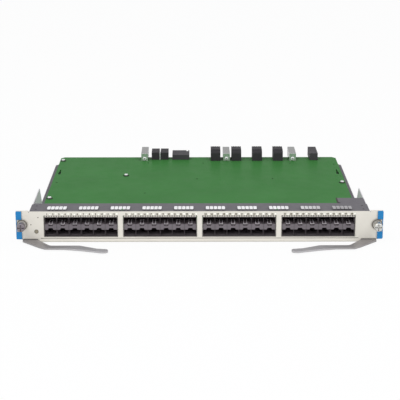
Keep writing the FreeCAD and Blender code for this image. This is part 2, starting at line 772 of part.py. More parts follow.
# Top shield: a folded sheet from the panel's rabbet back, with a window for each contact clip
def top_shield():
    body = new_body("top_shield")
    corner = shield_corner
    edge = shield_half_width
    plan = [
        (-edge, rabbet_skin), (edge, rabbet_skin), (edge, shield_end - corner),
        (edge - corner, shield_end), (corner - edge, shield_end), (-edge, shield_end - corner),
    ]
    extrude(body, "cover", "top", shield_under, shield_top, [polygon(plan)])
    flange_half = side_plate_inner - bracket_gap
    front = rectangle(-flange_half, panel_thickness, flange_half, panel_thickness + sheet_thickness)
    extrude(body, "front_flange", "top", shield_under - shield_front_flange, shield_under, [front])
    lip_half = edge - corner
    rear = rectangle(-lip_half, shield_end - sheet_thickness, lip_half, shield_end)
    extrude(body, "rear_lip", "top", shield_under - shield_rear_lip, shield_under, [rear])
    window = rectangle(first_clip_left, clip_window_start, first_clip_right, clip_window_end)
    cut = extrude(body, "clip_window", "top", shield_under, shield_top, [window], cut=True)
    repeat(body, "clip_windows", [cut], "X_Axis", clip_count, clip_pitch)
    holes = []
    for side in (-1, 1):
        for depth in (shield_hole_front, shield_hole_rear):
            holes.append(circle(side * (edge - shield_hole_edge), depth, shield_hole_radius))
    extrude(body, "fixing_holes", "top", shield_under, shield_top, holes, cut=True)


# Contact clips: each has two strips under the shield, joined by arched spring fingers that stand
# through the window
def contact_clips():
    body = new_body("contact_clips")
    strip_bottom = shield_under - clip_thickness
    strips = extrude(body, "strips", "top", strip_bottom, shield_under, [
        rectangle(first_clip_left, clip_start, first_clip_right, clip_window_start),
        rectangle(first_clip_left, clip_window_end, first_clip_right, clip_window_end + clip_strip),
    ])
    crown = shield_top + clip_rise
    arch = polygon([
        (clip_window_start, strip_bottom), (clip_window_start + clip_ramp, crown),
        (clip_window_end - clip_ramp, crown), (clip_window_end, strip_bottom),
        (clip_window_end, shield_under), (clip_window_end - clip_ramp, crown + clip_thickness),
        (clip_window_start + clip_ramp, crown + clip_thickness), (clip_window_start, shield_under),
    ])
    fingers = []
    for number in range(int(clip_fingers.value)):
        finger_left = first_clip_left + clip_finger_pitch * number
        fingers.append(extrude(
            body, f"finger_{number}", "side", finger_left, finger_left + clip_finger_width, [arch]))
    repeat(body, "clip_row", [strips] + fingers, "X_Axis", clip_count, clip_pitch)


# Corner bracket: a small folded plate behind the shield, fixed to the right side plate
def corner_bracket():
    body = new_body("corner_bracket")
    start = shield_end + bracket_gap
    end = start + bracket_length
    inner = side_plate_inner - bracket_width
    outline = [
        (inner, start + bracket_notch), (inner + bracket_notch, start + bracket_notch),
        (inner + bracket_notch, start), (side_plate_inner, start),
        (side_plate_inner, end), (inner, end),
    ]
    extrude(body, "plate", "top", shield_under, shield_top, [polygon(outline)])
    flange = rectangle(side_plate_inner - sheet_thickness, start, side_plate_inner, end)
    extrude(body, "flange", "top", shield_under - bracket_flange, shield_under, [flange])


# Side plate: a bright upright gusset from panel to tray, relieved at the front for the lever
def side_plate(name, side):
    body = new_body(name)
    inner = side * side_plate_inner
    outer = inner + side * side_plate_thickness
    low, high = (outer, inner) if side < 0 else (inner, outer)
    relief = pivot_head_top + pivot_head_gap
    outline = [
        (panel_thickness, relief), (side_foot_start - side_plate_slope, relief),
        (side_foot_start, tray_thickness), (side_plate_end, tray_thickness),
        (side_plate_knee, side_plate_knee_height), (side_plate_top_end, shield_under),
        (panel_thickness, shield_under),
    ]
    extrude(body, "gusset", "side", low, high, [polygon(outline)])
    foot_end = side_plate_end - side_foot_from_end
    foot = rectangle(outer, side_foot_start, outer + side * side_foot_width, foot_end)
    extrude(body, "foot", "top", tray_thickness, tray_thickness + sheet_thickness, [foot])


# Ejector lever: a flat arm with two bends, a rounded tip and a cam nose behind the panel's ear
def ejector_lever(name, side):
    body = new_body(name)
    outline = {}
    for point, (inset, depth) in lever_points.items():
        outline[point] = (side * from_end(inset), depth)
    arm = extrude(body, "arm", "top", lever_bottom, lever_top, [polygon(list(outline.values()))])
    bend_places = [outline[point] for point in LEVER_BENDS]
    bends = round_edges(body, "bends", arm, lever_bend_radius, edges_seen_at("top", bend_places))
    tip_places = [outline[point] for point in LEVER_TIP]
    round_edges(body, "tip", bends, lever_tip_radius, edges_seen_at("top", tip_places))
    hole = circle(side * pivot_across, pivot_depth, pivot_radius + running_gap)
    extrude(body, "pivot_hole", "top", lever_bottom, lever_top, [hole], cut=True)


# Lever pivot: a rivet that stands in the tray, with a wide head over the lever
def lever_pivot(name, side):
    body = new_body(name, side * pivot_across)
    shank = circle(0, pivot_depth, pivot_radius)
    extrude(body, "shank", "top", 0, pivot_head_bottom, [shank])
    head = circle(0, pivot_depth, pivot_head_radius)
    extrude(body, "head", "top", pivot_head_bottom, pivot_head_top, [head])


# Ferrule: a flanged tube in the panel that guides the captive screw
def ferrule(name, side):
    body = new_body(name, side * screw_across, screw_height)
    bore = shank_radius + running_gap
    revolve(body, "tube", "top", [
        (bore, -flange_thickness), (flange_radius, -flange_thickness), (flange_radius, 0),
        (hub_radius, 0), (hub_radius, hub_length), (bore, hub_length),
    ])


# Captive screw: a knob with a bored skirt for the spring, and a long shank with a ring groove
def captive_screw(name, side):
    body = new_body(name, side * screw_across, screw_height)
    groove_end = ring_rear + ring_gap
    revolve(body, "turned", "top", [
        (0, -knob_front), (knob_radius - knob_chamfer, -knob_front),
        (knob_radius, knob_chamfer - knob_front), (knob_radius, -knob_rear),
        (knob_bore_radius, -knob_rear), (knob_bore_radius, bore_end), (shank_radius, bore_end),
        (shank_radius, ring_front), (groove_radius, ring_front), (groove_radius, groove_end),
        (shank_radius, groove_end), (shank_radius, screw_tip), (0, screw_tip),
    ])
    narrow = driver_slot_width / 2
    reach = knob_bore_radius
    cross = polygon([
        (-reach, -narrow), (-narrow, -narrow), (-narrow, -reach), (narrow, -reach),
        (narrow, -narrow), (reach, -narrow), (reach, narrow), (narrow, narrow),
        (narrow, reach), (-narrow, reach), (-narrow, narrow), (-reach, narrow),
    ])
    slot_floor = driver_slot_depth - knob_front
    extrude(body, "driver_cross", "front", -knob_front, slot_floor, [cross], cut=True)


# Retaining ring: sits in the screw's groove behind the ferrule, split on one side
def retaining_ring(name, side):
    body = new_body(name, side * screw_across, screw_height)
    inner = groove_radius + ring_gap
    revolve(body, "washer", "top", [
        (inner, ring_front), (ring_radius, ring_front), (ring_radius, ring_rear), (inner, ring_rear),
    ])
    split = rectangle(-ring_split_width / 2, -ring_radius - ring_gap, ring_split_width / 2, 0)
    extrude(body, "split", "front", ring_front, ring_rear, [split], cut=True)


# Screw spring: a square-wire coil round the shank, between the knob's bore and the ferrule's flange
def screw_spring(name, side):
    body = new_body(name, side * screw_across, screw_height)
    half = spring_wire / 2
    outer = knob_bore_radius - spring_side_gap
    start = bore_end + half + ring_gap
    end = -flange_thickness - half - ring_gap
    section = rectangle(outer - spring_wire, start - half, outer, start + half)
    wire = add_sketch(body, "wire", "top", 0, [section])
    coil = body.newObject("PartDesign::AdditiveHelix", "coil")
    coil.Profile = wire
    coil.ReferenceAxis = (wire, ["V_Axis"])
    coil.Mode = "height-turns-angle"
    coil.setExpression("Height", (end - start).formula)
    coil.setExpression("Turns", spring_turns.formula)
    coil.Angle = 0


# Signal connector: a tall moulding with a rounded front, a step line and grooves between its wafers
def signal_connector(name, middle):
    body = new_body(name, middle)
    half = signal_width / 2
    start = board_end - signal_seat
    end = start + signal_length
    top = board_top + signal_height
    step = top - signal_step_height
    profile = [
        (start, board_top), (board_end, board_top), (board_end, board_bottom),
        (end, board_bottom), (end, top), (start + signal_hook, top),
        (start + signal_hook, top - signal_step_depth),
        (start + signal_round, top - signal_step_depth),
        (start + signal_step_depth / 2, step + signal_step_depth / 2),
        (start, step - signal_step_depth),
    ]
    extrude(body, "moulding", "side", -half, half, [polygon(profile)])
    first = -((signal_groove_count - 1) * signal_rib_pitch + signal_groove) / 2
    groove = rectangle(first, end - signal_groove_depth, first + signal_groove, end)
    cut = extrude(body, "wafer_groove", "top", board_bottom, top, [groove], cut=True)
    repeat(body, "wafer_grooves", [cut], "X_Axis", signal_groove_count, signal_rib_pitch)


# Guide block: a metal block with a socket for the backplane's guide pin
def guide_block(name, middle):
    body = new_body(name, middle)
    half = guide_width / 2
    start = board_end - guide_seat
    end = start + guide_length
    top = board_top + guide_height
    profile = [
        (start, board_top), (board_end, board_top), (board_end, board_bottom),
        (end - guide_chamfer, board_bottom), (end, board_bottom + guide_chamfer),
        (end, top - guide_nose), (end - guide_nose, top), (start, top),
    ]
    extrude(body, "block", "side", -half, half, [polygon(profile)])
    height = (board_bottom + top) / 2
    socket = circle(0, height, guide_bore_radius)
    extrude(body, "socket", "front", end - guide_bore_length, end, [socket], cut=True)


# Power connector: two modules joined at their base, each with a socket in its rear face
def power_connector():
    body = new_body("power_connector", power_middle)
    half = power_width / 2
    start = board_end - power_seat
    end = start + power_length
    top = board_top + power_height
    profile = [
        (start, board_top), (board_end, board_top), (board_end, board_bottom), (end, board_bottom),
        (end, top), (start, top),
    ]
    extrude(body, "moulding", "side", -half, half, [polygon(profile)])
    gap_half = power_gap / 2
    base = board_top + power_base
    gap = rectangle(-gap_half, start, gap_half, end)
    extrude(body, "gap", "top", base, top, [gap], cut=True)
    sockets = []
    for side in (-1, 1):
        sockets.append(rectangle(
            side * (gap_half + power_wall), base, side * (half - power_wall), top - power_wall))
    extrude(body, "sockets", "front", end - power_socket_depth, end, sockets, cut=True)


# Wide connector: a low moulding with a keying notch in the right of its rear edge
def wide_connector():
    body = new_body("wide_connector", wide_middle)
    half = wide_width / 2
    start = board_end - wide_seat
    end = start + wide_length
    top = board_top + wide_height
    profile = [
        (start, board_top), (board_end, board_top), (board_end, board_bottom), (end, board_bottom),
        (end, top), (start, top),
    ]
    extrude(body, "moulding", "side", -half, half, [polygon(profile)])
    notch_right = half - wide_notch_inset
    notch = rectangle(notch_right - wide_notch_width, end - wide_notch_length, notch_right, end)
    extrude(body, "keying_notch", "top", top - wide_wall, top, [notch], cut=True)
    mouth = rectangle(-half + wide_wall, board_top, half - wide_wall, top - wide_wall)
    extrude(body, "mouth", "front", end - wide_mouth_depth, end, [mouth], cut=True)


# End connector: a single long module at the right
def end_connector():
    body = new_body("end_connector", end_middle)
    half = end_width / 2
    start = board_end - end_seat
    end = start + end_length
    top = board_top + end_height
    profile = [
        (start, board_top), (board_end, board_top), (board_end, board_bottom), (end, board_bottom),
        (end, top), (start, top),
    ]
    extrude(body, "moulding", "side", -half, half, [polygon(profile)])
    mouth = rectangle(-half + end_wall, board_top, half - end_wall, top - end_wall)
    extrude(body, "mouth", "front", end - end_mouth_depth, end, [mouth], cut=True)


def status_lens():
    body = new_body("status_lens")
    outline = circle(lens_across, lens_height, lens_radius)
    extrude(body, "lens", "front", -lens_proud, panel_thickness + lens_stem, [outline])


front_panel()
for side_name, side in (("left", -1), ("right", 1)):
    end_cap(f"{side_name}_end_cap", side)
    side_plate(f"{side_name}_side_plate", side)
    ejector_lever(f"{side_name}_ejector_lever", side)
    lever_pivot(f"{side_name}_lever_pivot", side)
    ferrule(f"{side_name}_ferrule", side)
    captive_screw(f"{side_name}_captive_screw", side)
    retaining_ring(f"{side_name}_retaining_ring", side)
    screw_spring(f"{side_name}_screw_spring", side)
for number, middle in enumerate(cage_middles, start=1):
    cage_shell(f"port_cage_{number}", middle)
    cage_dividers(f"cage_dividers_{number}", middle)
    cage_separators(f"cage_separators_{number}", middle)
    cage_collar(f"cage_collar_{number}", middle)
    port_connectors(f"port_connectors_{number}", middle)
tray()
circuit_board()
board_standoffs()
board_screws()
top_shield()
contact_clips()
corner_bracket()
for number, middle in enumerate(signal_places, start=1):
    signal_connector(f"signal_connector_{number}", middle)
for number, middle in enumerate(guide_places, start=1):
    guide_block(f"guide_block_{number}", middle)
power_connector()
wide_connector()
end_connector()
status_lens()

doc.recompute()
faults = []
for item in doc.Objects:
    if "Invalid" in item.State or "Error" in item.State:
        faults.append(item.Name)
for body in bodies:
    if body.Shape.isNull() or not body.Shape.isValid():
        faults.append(body.Label)
if faults:
    raise RuntimeError("failed objects: " + ", ".join(faults))
os.makedirs("parts", exist_ok=True)
for body in bodies:
    body.Shape.exportStep(f"parts/{body.Label}.step")
print(len(bodies), "pieces written")
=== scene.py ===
import json
import math

import bmesh
import bpy
from mathutils import Matrix, Vector


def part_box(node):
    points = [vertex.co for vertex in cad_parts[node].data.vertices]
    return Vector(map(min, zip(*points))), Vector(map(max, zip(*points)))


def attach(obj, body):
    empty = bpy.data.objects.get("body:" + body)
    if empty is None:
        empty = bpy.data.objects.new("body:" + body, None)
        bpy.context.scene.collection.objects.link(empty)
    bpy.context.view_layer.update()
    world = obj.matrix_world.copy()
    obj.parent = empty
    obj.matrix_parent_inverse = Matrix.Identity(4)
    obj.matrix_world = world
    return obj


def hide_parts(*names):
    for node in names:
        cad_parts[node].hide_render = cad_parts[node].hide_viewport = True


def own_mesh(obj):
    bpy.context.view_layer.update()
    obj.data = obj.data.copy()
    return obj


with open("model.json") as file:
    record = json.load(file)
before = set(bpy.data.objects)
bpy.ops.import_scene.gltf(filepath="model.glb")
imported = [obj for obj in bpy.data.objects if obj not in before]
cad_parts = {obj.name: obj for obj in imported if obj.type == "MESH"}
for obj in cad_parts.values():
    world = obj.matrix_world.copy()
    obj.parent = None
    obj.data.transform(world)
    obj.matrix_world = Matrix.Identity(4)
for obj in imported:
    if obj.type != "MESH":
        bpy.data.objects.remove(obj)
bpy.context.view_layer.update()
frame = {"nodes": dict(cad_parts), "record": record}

MM = 0.001
scene = bpy.context.scene
nodes = frame["nodes"]

# The card's datum: the panel's front face, in the row's frame
PANEL_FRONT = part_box("front_panel")[0].y
BOARD_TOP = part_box("circuit_board")[1].z
CAGES = range(1, 5)
SIDES = ("left", "right")
PORTS = 6
PORT_PITCH = 14.25 * MM
GUIDES = range(1, 4)
SIGNALS = range(1, 5)


# How dark a colour turns as painted shade in corners and slots, as a share of itself
COAT_SHADE = 0.4
METAL_SHADE = 0.3
BOARD_SHADE = 0.6


# Small helpers
def srgb(red, green, blue):
    """A colour read off as 0 to 255, in Blender's linear values."""
    channels = []
    for channel in (red, green, blue):
        share = channel / 255
        channels.append(share / 12.92 if share <= 0.04045 else ((share + 0.055) / 1.055) ** 2.4)
    return (*channels, 1.0)


def scaled(colour, factor):
    return tuple(min(channel * factor, 1.0) for channel in colour[:3]) + (1.0,)


class Shader:
    """Builds one node material, node by node."""

    def __init__(self, name):
        self.material = bpy.data.materials.new(name)
        self.material.use_nodes = True
        self.tree = self.material.node_tree
        self.surface = next(node for node in self.tree.nodes if node.type == "BSDF_PRINCIPLED")
        self.place = self.add("ShaderNodeTexCoord").outputs["Object"]

    def add(self, kind, **values):
        node = self.tree.nodes.new(kind)
        for name, value in values.items():
            setattr(node, name, value)
        return node

    def join(self, output, socket):
        self.tree.links.new(output, socket)

    def set(self, name, value):
        self.surface.inputs[name].default_value = value

    def stretched(self, stretch):
        mapping = self.add("ShaderNodeMapping")
        mapping.inputs["Scale"].default_value = stretch
        self.join(self.place, mapping.inputs["Vector"])
        return mapping.outputs["Vector"]

    def noise(self, size, detail=4.0, stretch=(1, 1, 1)):
        """Cloudy noise whose patches are about size metres across."""
        node = self.add("ShaderNodeTexNoise")
        node.inputs["Scale"].default_value = 1 / size
        node.inputs["Detail"].default_value = detail
        self.join(self.stretched(stretch), node.inputs["Vector"])
        return node.outputs["Fac"]

    def ranged(self, value, low, high, from_low=0.3, from_high=0.7):
        node = self.add("ShaderNodeMapRange")
        node.inputs["From Min"].default_value = from_low
        node.inputs["From Max"].default_value = from_high
        node.inputs["To Min"].default_value = low
        node.inputs["To Max"].default_value = high
        self.join(value, node.inputs["Value"])
        return node.outputs["Result"]

    def mixed(self, share, first, second):
        """Mixes two colours, or a socket and a colour, by a share from 0 to 1."""
        node = self.add("ShaderNodeMix", data_type="RGBA")
        for socket, value in ((node.inputs[6], first), (node.inputs[7], second)):
            if isinstance(value, bpy.types.NodeSocket):
                self.join(value, socket)
            else:
                socket.default_value = value
        self.join(share, node.inputs[0])
        return node.outputs[2]

    def colour(self, value):
        self.join(value, self.surface.inputs["Base Color"])

    def roughness(self, value):
        self.join(value, self.surface.inputs["Roughness"])

    def relief(self, height, depth, edge=0.0):
        """Bump of the given depth in metres, over edges rounded by the given radius."""
        bump = self.add("ShaderNodeBump")
        bump.inputs["Distance"].default_value = depth
        self.join(height, bump.inputs["Height"])
        if edge:
            bevel = self.add("ShaderNodeBevel", samples=4)
            bevel.inputs["Radius"].default_value = edge
            self.join(bevel.outputs["Normal"], bump.inputs["Normal"])
        self.join(bump.outputs["Normal"], self.surface.inputs["Normal"])

    def along(self, axis, start, end, mirrored=False):
        """A share from 0 to 1 between two places along an axis, or the same on both sides of the middle."""
        axes = self.add("ShaderNodeSeparateXYZ")
        self.join(self.place, axes.inputs["Vector"])
        value = axes.outputs[axis]
        if mirrored:
            distance = self.add("ShaderNodeMath", operation="ABSOLUTE")
            self.join(value, distance.inputs[0])
            value = distance.outputs[0]
        return self.ranged(value, 0, 1, start, end)

    def crevices(self, reach, dark):
        """A share that falls to dark in corners and slots narrower than the reach: painted shade, from
        ambient occlusion.
        """
        node = self.add("ShaderNodeAmbientOcclusion", samples=6)
        node.inputs["Distance"].default_value = reach
        return self.ranged(node.outputs["AO"], dark, 1, 0.35, 0.95)


def coated(name, colour, roughness, grain=0.9 * MM, depth=0.02 * MM, mottle=0.03, edge=0.3 * MM,
           specular=0.3, shade_reach=0.0):
    """Powder coat or moulded plastic: a fine pebbled grain, faint clouds, softened edges, and painted shade
    in corners and slots when a reach is given.
    """
    shader = Shader(name)
    clouds = shader.ranged(shader.noise(35 * MM), 0, 1)
    tone = shader.mixed(clouds, scaled(colour, 1 - mottle), scaled(colour, 1 + mottle))
    if shade_reach:
        tone = shader.mixed(shader.crevices(shade_reach, 0), scaled(colour, COAT_SHADE), tone)
    shader.colour(tone)
    shader.roughness(shader.ranged(shader.noise(9 * MM), roughness - 0.05, roughness + 0.05))
    shader.relief(shader.noise(grain, 2.0), depth, edge)
    shader.set("Specular IOR Level", specular)
    return shader.material


def brushed(name, colour, roughness, stretch, depth=0.01 * MM, mottle=0.06, edge=0.2 * MM,
            metallic=1.0, shade_reach=0.0, fade=None):
    """Rolled or brushed metal: hair lines along one way, slow changes of tone, painted shade in corners and
    slots when a reach is given, and a fade of painted light or shade between two places, given as its axis,
    start, end, farther colour and whether it is the same on both sides."""
    shader = Shader(name)
    lines = shader.noise(0.6 * MM, 3.0, stretch)
    clouds = shader.ranged(shader.noise(22 * MM, 3.0), 0, 1)
    tone = shader.mixed(clouds, scaled(colour, 1 - mottle), scaled(colour, 1 + mottle))
    tone = shader.mixed(shader.ranged(lines, 0, 0.35), tone, scaled(colour, 0.8))
    if fade:
        axis, start, end, farther, mirrored = fade
        tone = shader.mixed(shader.along(axis, start, end, mirrored), tone, farther)
    if shade_reach:
        tone = shader.mixed(shader.crevices(shade_reach, 0), scaled(colour, METAL_SHADE), tone)
    shader.colour(tone)
    shader.roughness(shader.ranged(lines, roughness - 0.07, roughness + 0.1))
    shader.relief(lines, depth, edge)
    shader.set("Metallic", metallic)
    return shader.material


def port_sheet(name, colour, inside, start=1.2 * MM, end=6 * MM, metallic=0.4, shade_reach=0.0):
    """Tinned sheet whose tone changes from the ports' mouths inwards, as painted light and shade in the
    ports.
    """
    painted_depth_tone = ("Y", PANEL_FRONT + start, PANEL_FRONT + end, inside, False)
    return brushed(
        name, colour, 0.5, (1, 0.2, 1), edge=0.0, metallic=metallic, shade_reach=shade_reach, fade=painted_depth_tone)


def board_mask(name, green):
    """Green solder mask over copper: slow tone changes and faint tracks under a satin skin, and painted
    shade where parts stand close on it.
    """
    shader = Shader(name)
    clouds = shader.ranged(shader.noise(60 * MM, 5.0), 0, 1)
    base = shader.mixed(clouds, scaled(green, 0.94), scaled(green, 1.06))
    tracks = shader.add("ShaderNodeTexBrick", offset=0.37, squash=0.6, squash_frequency=3)
    tracks.inputs["Scale"].default_value = 1 / (4 * MM)
    tracks.inputs["Mortar Size"].default_value = 0.03
    tracks.inputs["Color1"].default_value = (0, 0, 0, 1)
    tracks.inputs["Color2"].default_value = (0, 0, 0, 1)
    tracks.inputs["Mortar"].default_value = (1, 1, 1, 1)
    shader.join(shader.stretched((1, 0.3, 1)), tracks.inputs["Vector"])
    share = shader.ranged(tracks.outputs["Color"], 0, 0.3, 0, 1)
    tone = shader.mixed(share, base, scaled(green, 0.82))
    # Painted shade: the green darkens by the shield's edge and round the parts that stand on it
    shader.colour(shader.mixed(shader.crevices(5 * MM, 0), scaled(green, BOARD_SHADE), tone))
    shader.roughness(shader.ranged(shader.noise(14 * MM), 0.3, 0.4))
    shader.relief(shader.noise(2.2 * MM, 3.0), 0.015 * MM)
    shader.set("Specular IOR Level", 0.01)
    return shader.material


def clear_plastic(name, colour, spread=0.2, glow=0.0):
    """Moulded light pipe or lens, with a glossy skin and a painted glow, though no lamp lights it."""
    shader = Shader(name)
    clouds = shader.ranged(shader.noise(0.8 * MM), 0, 1)
    shader.colour(shader.mixed(clouds, scaled(colour, 1 - spread), scaled(colour, 1 + spread)))
    shader.roughness(shader.ranged(shader.noise(1.5 * MM), 0.12, 0.22))
    shader.set("Coat Weight", 0.5)
    shader.set("Emission Color", colour)
    shader.set("Emission Strength", glow)
    return shader.material


# Finishes, one for each slot of the record
# Painted shade: the levers turn darker towards their roots at the card's ends, under the panel's edge
LEVER_ROOT_SHADE = ("X", 140 * MM, 192 * MM, srgb(158, 154, 154), True)
GUIDE_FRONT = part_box("guide_block_1")[0].y
# Painted light and shade: each guide block is bright on its front face and dark grey on the faces behind it
GUIDE_FACE_LIGHT = ("Y", GUIDE_FRONT + 0.2 * MM, GUIDE_FRONT + 0.8 * MM, srgb(120, 121, 120), False)
FINISHES = {
    "panel_paint": coated("panel_paint", srgb(236, 231, 220), 0.5, shade_reach=2.0 * MM),
    "cap_blue": coated("cap_blue", srgb(48, 136, 198), 0.45, grain=0.6 * MM, specular=0.12),
    "bright_steel": brushed("bright_steel", srgb(226, 222, 226), 0.6, (1, 0.06, 1), metallic=0.1),
    "lever_steel": brushed(
        "lever_steel", srgb(200, 198, 200), 0.45, (0.08, 1, 1), metallic=0.6, shade_reach=4 * MM,
        fade=LEVER_ROOT_SHADE),
    "screw_steel": brushed("screw_steel", srgb(136, 129, 134), 0.5, (1, 0.2, 1), metallic=0.7),
    "spring_steel": brushed("spring_steel", srgb(190, 188, 184), 0.35, (1, 0.1, 1), edge=0.0),
    # Painted light and shade: the cage sheet turns lighter from the mouths inwards, and darker in corners
    # and slots
    "cage_metal": port_sheet(
        "cage_metal", srgb(118, 111, 116), srgb(158, 146, 152), 0.8 * MM, 3 * MM, shade_reach=2.5 * MM),
    "dark_sheet": coated(
        "dark_sheet", srgb(104, 101, 106), 0.5, grain=0.5 * MM, depth=0.01 * MM, specular=0.12),
    "board_green": board_mask("board_green", srgb(68, 128, 67)),
    "black_plastic": coated(
        "black_plastic", srgb(66, 64, 67), 0.5, grain=0.5 * MM, mottle=0.08, specular=0.03),
    "guide_metal": brushed(
        "guide_metal", srgb(236, 240, 236), 0.22, (1, 0.1, 1), metallic=0.75, fade=GUIDE_FACE_LIGHT),
    "lens": clear_plastic("lens", srgb(150, 142, 122)),
}

# Finishes of single nodes and of the small pieces that are made below
# Painted shade: the clips' legs are dark grey, as the shade under their pads
SHADED_CLIP_LEGS = brushed("shaded_clip_legs", srgb(112, 109, 114), 0.5, (1, 0.15, 1), metallic=0.4)
# Painted highlight: the pads are near white as the glint on the fingers, and painted duller towards the
# right where that glint fades
DIMMER_PAD_GLINT = ("X", 92 * MM, 163 * MM, srgb(152, 149, 152), False)
GLINTING_CLIP_PADS = brushed("glinting_clip_pads", srgb(248, 247, 249), 0.3, (1, 0.15, 1), metallic=0.3, fade=DIMMER_PAD_GLINT)
# Painted shade: the ports' walls are near black at their mouths, and painted lighter deeper in, against the
# shade there
PORT_SHADE_FINISH = port_sheet("port_shade_metal", srgb(62, 57, 60), srgb(148, 140, 144))
# Painted light and shade: the collars' fingers are bright at the panel's openings and dark behind them
COLLAR_LIT_FINISH = port_sheet(
    "collar_lit_metal", srgb(206, 202, 196), srgb(72, 67, 68), 1.9 * MM, 2.6 * MM, metallic=0.8)
FERRULE_FINISH = brushed(
    "ferrule_metal", srgb(206, 202, 196), 0.4, (1, 1, 0.2), metallic=0.4, shade_reach=1.5 * MM)
# Painted light: the right knob is a lighter copy of the screw steel that the left knob has
LIT_KNOB = brushed("lit_knob", srgb(210, 210, 206), 0.3, (1, 0.2, 1), shade_reach=1.2 * MM)
PALE_PLASTIC = coated("pale_plastic", srgb(80, 78, 81), 0.5, grain=0.5 * MM, mottle=0.08, specular=0.03)
# Olive print for the numbers, and painted shade for the pin holes
OLIVE_PRINT_AND_HOLE_SHADE = coated("olive_print_and_hole_shade", srgb(104, 99, 76), 0.6, grain=0.3 * MM, edge=0.0)
# Painted light: the light pipes glow faintly, though the card has no lamp behind them
PIPE_WHITE = clear_plastic("pipe_white", srgb(252, 252, 240), 0.02, 0.15)
# Painted light: the latch tabs turn lighter deeper in the ports, against the shade there
TAB_LIT_METAL = port_sheet("tab_lit_metal", srgb(206, 198, 202), srgb(255, 250, 254), 1.2 * MM, 5 * MM, 0.1)
GOLD = brushed("gold", srgb(214, 178, 104), 0.25, (1, 0.2, 1), edge=0.0)
POLISHED = brushed(
    "polished", srgb(250, 250, 250), 0.25, (1, 1, 1), edge=0.0, metallic=0.15, shade_reach=1.5 * MM)
GAP_LIGHT_RIB = coated("gap_light_rib", srgb(214, 216, 214), 0.4, grain=0.4 * MM)
# Dark olive for the status lens's bezel, and painted shadow for the rings round the ferrules' flanges
BEZEL_AND_RIM_SHADE = coated("bezel", srgb(96, 90, 74), 0.45, grain=0.4 * MM)
SHADED_HEM = coated("shaded_hem", srgb(66, 64, 60), 0.5, grain=0.5 * MM, specular=0.1)
PAINTED_HOLE_SHADE = coated("painted_hole_shade", srgb(40, 58, 38), 0.6, grain=0.4 * MM, specular=0.05)


def dress(node, material):
    """Gives a carried-over node its material, and leaves its mesh as it is."""
    for slot in nodes[node].material_slots:
        slot.material = material


for entry in frame["record"]["subparts"]:
    dress(entry["node"], FINISHES[entry["material_slot"]])
dress("contact_clips", SHADED_CLIP_LEGS)
dress("right_captive_screw", LIT_KNOB)
dress("wide_connector", PALE_PLASTIC)
dress("end_connector", PALE_PLASTIC)
for side in SIDES:
    dress(f"{side}_ferrule", FERRULE_FINISH)
for cage in CAGES:
    dress(f"port_cage_{cage}", PORT_SHADE_FINISH)
    dress(f"cage_dividers_{cage}", PORT_SHADE_FINISH)
    dress(f"cage_collar_{cage}", COLLAR_LIT_FINISH)


# Ways that a small form faces: its own right, up and outward directions
FRONT = (Vector((1, 0, 0)), Vector((0, 0, 1)), Vector((0, -1, 0)))
TOP = (Vector((1, 0, 0)), Vector((0, 1, 0)), Vector((0, 0, 1)))
REAR = (Vector((-1, 0, 0)), Vector((0, 0, 1)), Vector((0, 1, 0)))


def circle(radius, count=24):
    turn = math.tau / count
    return [(radius * math.cos(turn * step), radius * math.sin(turn * step)) for step in range(count)]


def lobed(radius, depth, lobes, count):
    """A round outline whose radius swells and sinks by the depth, once for each lobe."""
    outline = []
    for step in range(count):
        angle = math.tau * step / count
        reach = radius + depth * math.cos(lobes * angle)
        outline.append((reach * math.cos(angle), reach * math.sin(angle)))
    return outline


def oblong(width, height):
    right = width / 2
    top = height / 2
    return [(-right, -top), (right, -top), (right, top), (-right, top)]


def place(across, depth, height):
    """A place in millimetres from the card's middle, the panel's face and the tray's underside."""
    return Vector((across * MM, PANEL_FRONT + depth * MM, height * MM))


class Form:
    """Collects the closed shells of one piece."""

    def __init__(self):
        self.mesh = bmesh.new()

    def skin(self, rings, closed=False):
        """Joins rings of points into one shell, with a cap at each end unless the rings close."""
        made = [[self.mesh.verts.new(point) for point in ring] for ring in rings]
        pairs = list(zip(made, made[1:]))
        if closed:
            pairs.append((made[-1], made[0]))
        count = len(made[0])
        for first, second in pairs:
            for index in range(count):
                after = (index + 1) % count
                self.mesh.faces.new((first[index], first[after], second[after], second[index]))
        if not closed:
            self.mesh.faces.new(list(reversed(made[0])))
            self.mesh.faces.new(made[-1])

    def loft(self, centre, way, sections, closed=False):
        """A shell through outlines, each at its height above a centre."""
        right, up, out = way
        rings = []
        for outline, height in sections:
            rings.append([centre + right * across + up * rise + out * height for across, rise in outline])
        self.skin(rings, closed)

    def eyelet(self, centre, way, radius, bore, rise, sink=0.0):
        """A raised ring that rolls over into a shallow recess."""
        rim = (radius + bore) / 2
        self.loft(centre, way, [
            (circle(radius, 20), 0), (circle(radius * 0.93, 20), rise * 0.7), (circle(rim, 20), rise),
            (circle(bore, 20), rise * 0.8), (circle(bore, 20), sink)])

    def finish(self, name, material, slot, body="card", sharp=35):
        """Makes the piece, smooth apart from edges over the sharp angle, and lets it ride on its body."""
        bmesh.ops.recalc_face_normals(self.mesh, faces=self.mesh.faces)
        limit = math.radians(sharp)
        for face in self.mesh.faces:
            face.smooth = True
        for edge in self.mesh.edges:
            edge.smooth = edge.calc_face_angle(0) < limit
        data = bpy.data.meshes.new(name)
        self.mesh.to_mesh(data)
        self.mesh.free()
        data.materials.append(material)
        piece = bpy.data.objects.new(name, data)
        scene.collection.objects.link(piece)
        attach(piece, body)
        return piece


def middle_of(node):
    low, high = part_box(node)
    return (low + high) / 2


def port_middles(cage):
    """Places across of a cage's six columns of ports."""
    middle = middle_of(f"port_cage_{cage}").x
    return [middle + PORT_PITCH * (column - (PORTS - 1) / 2) for column in range(PORTS)]


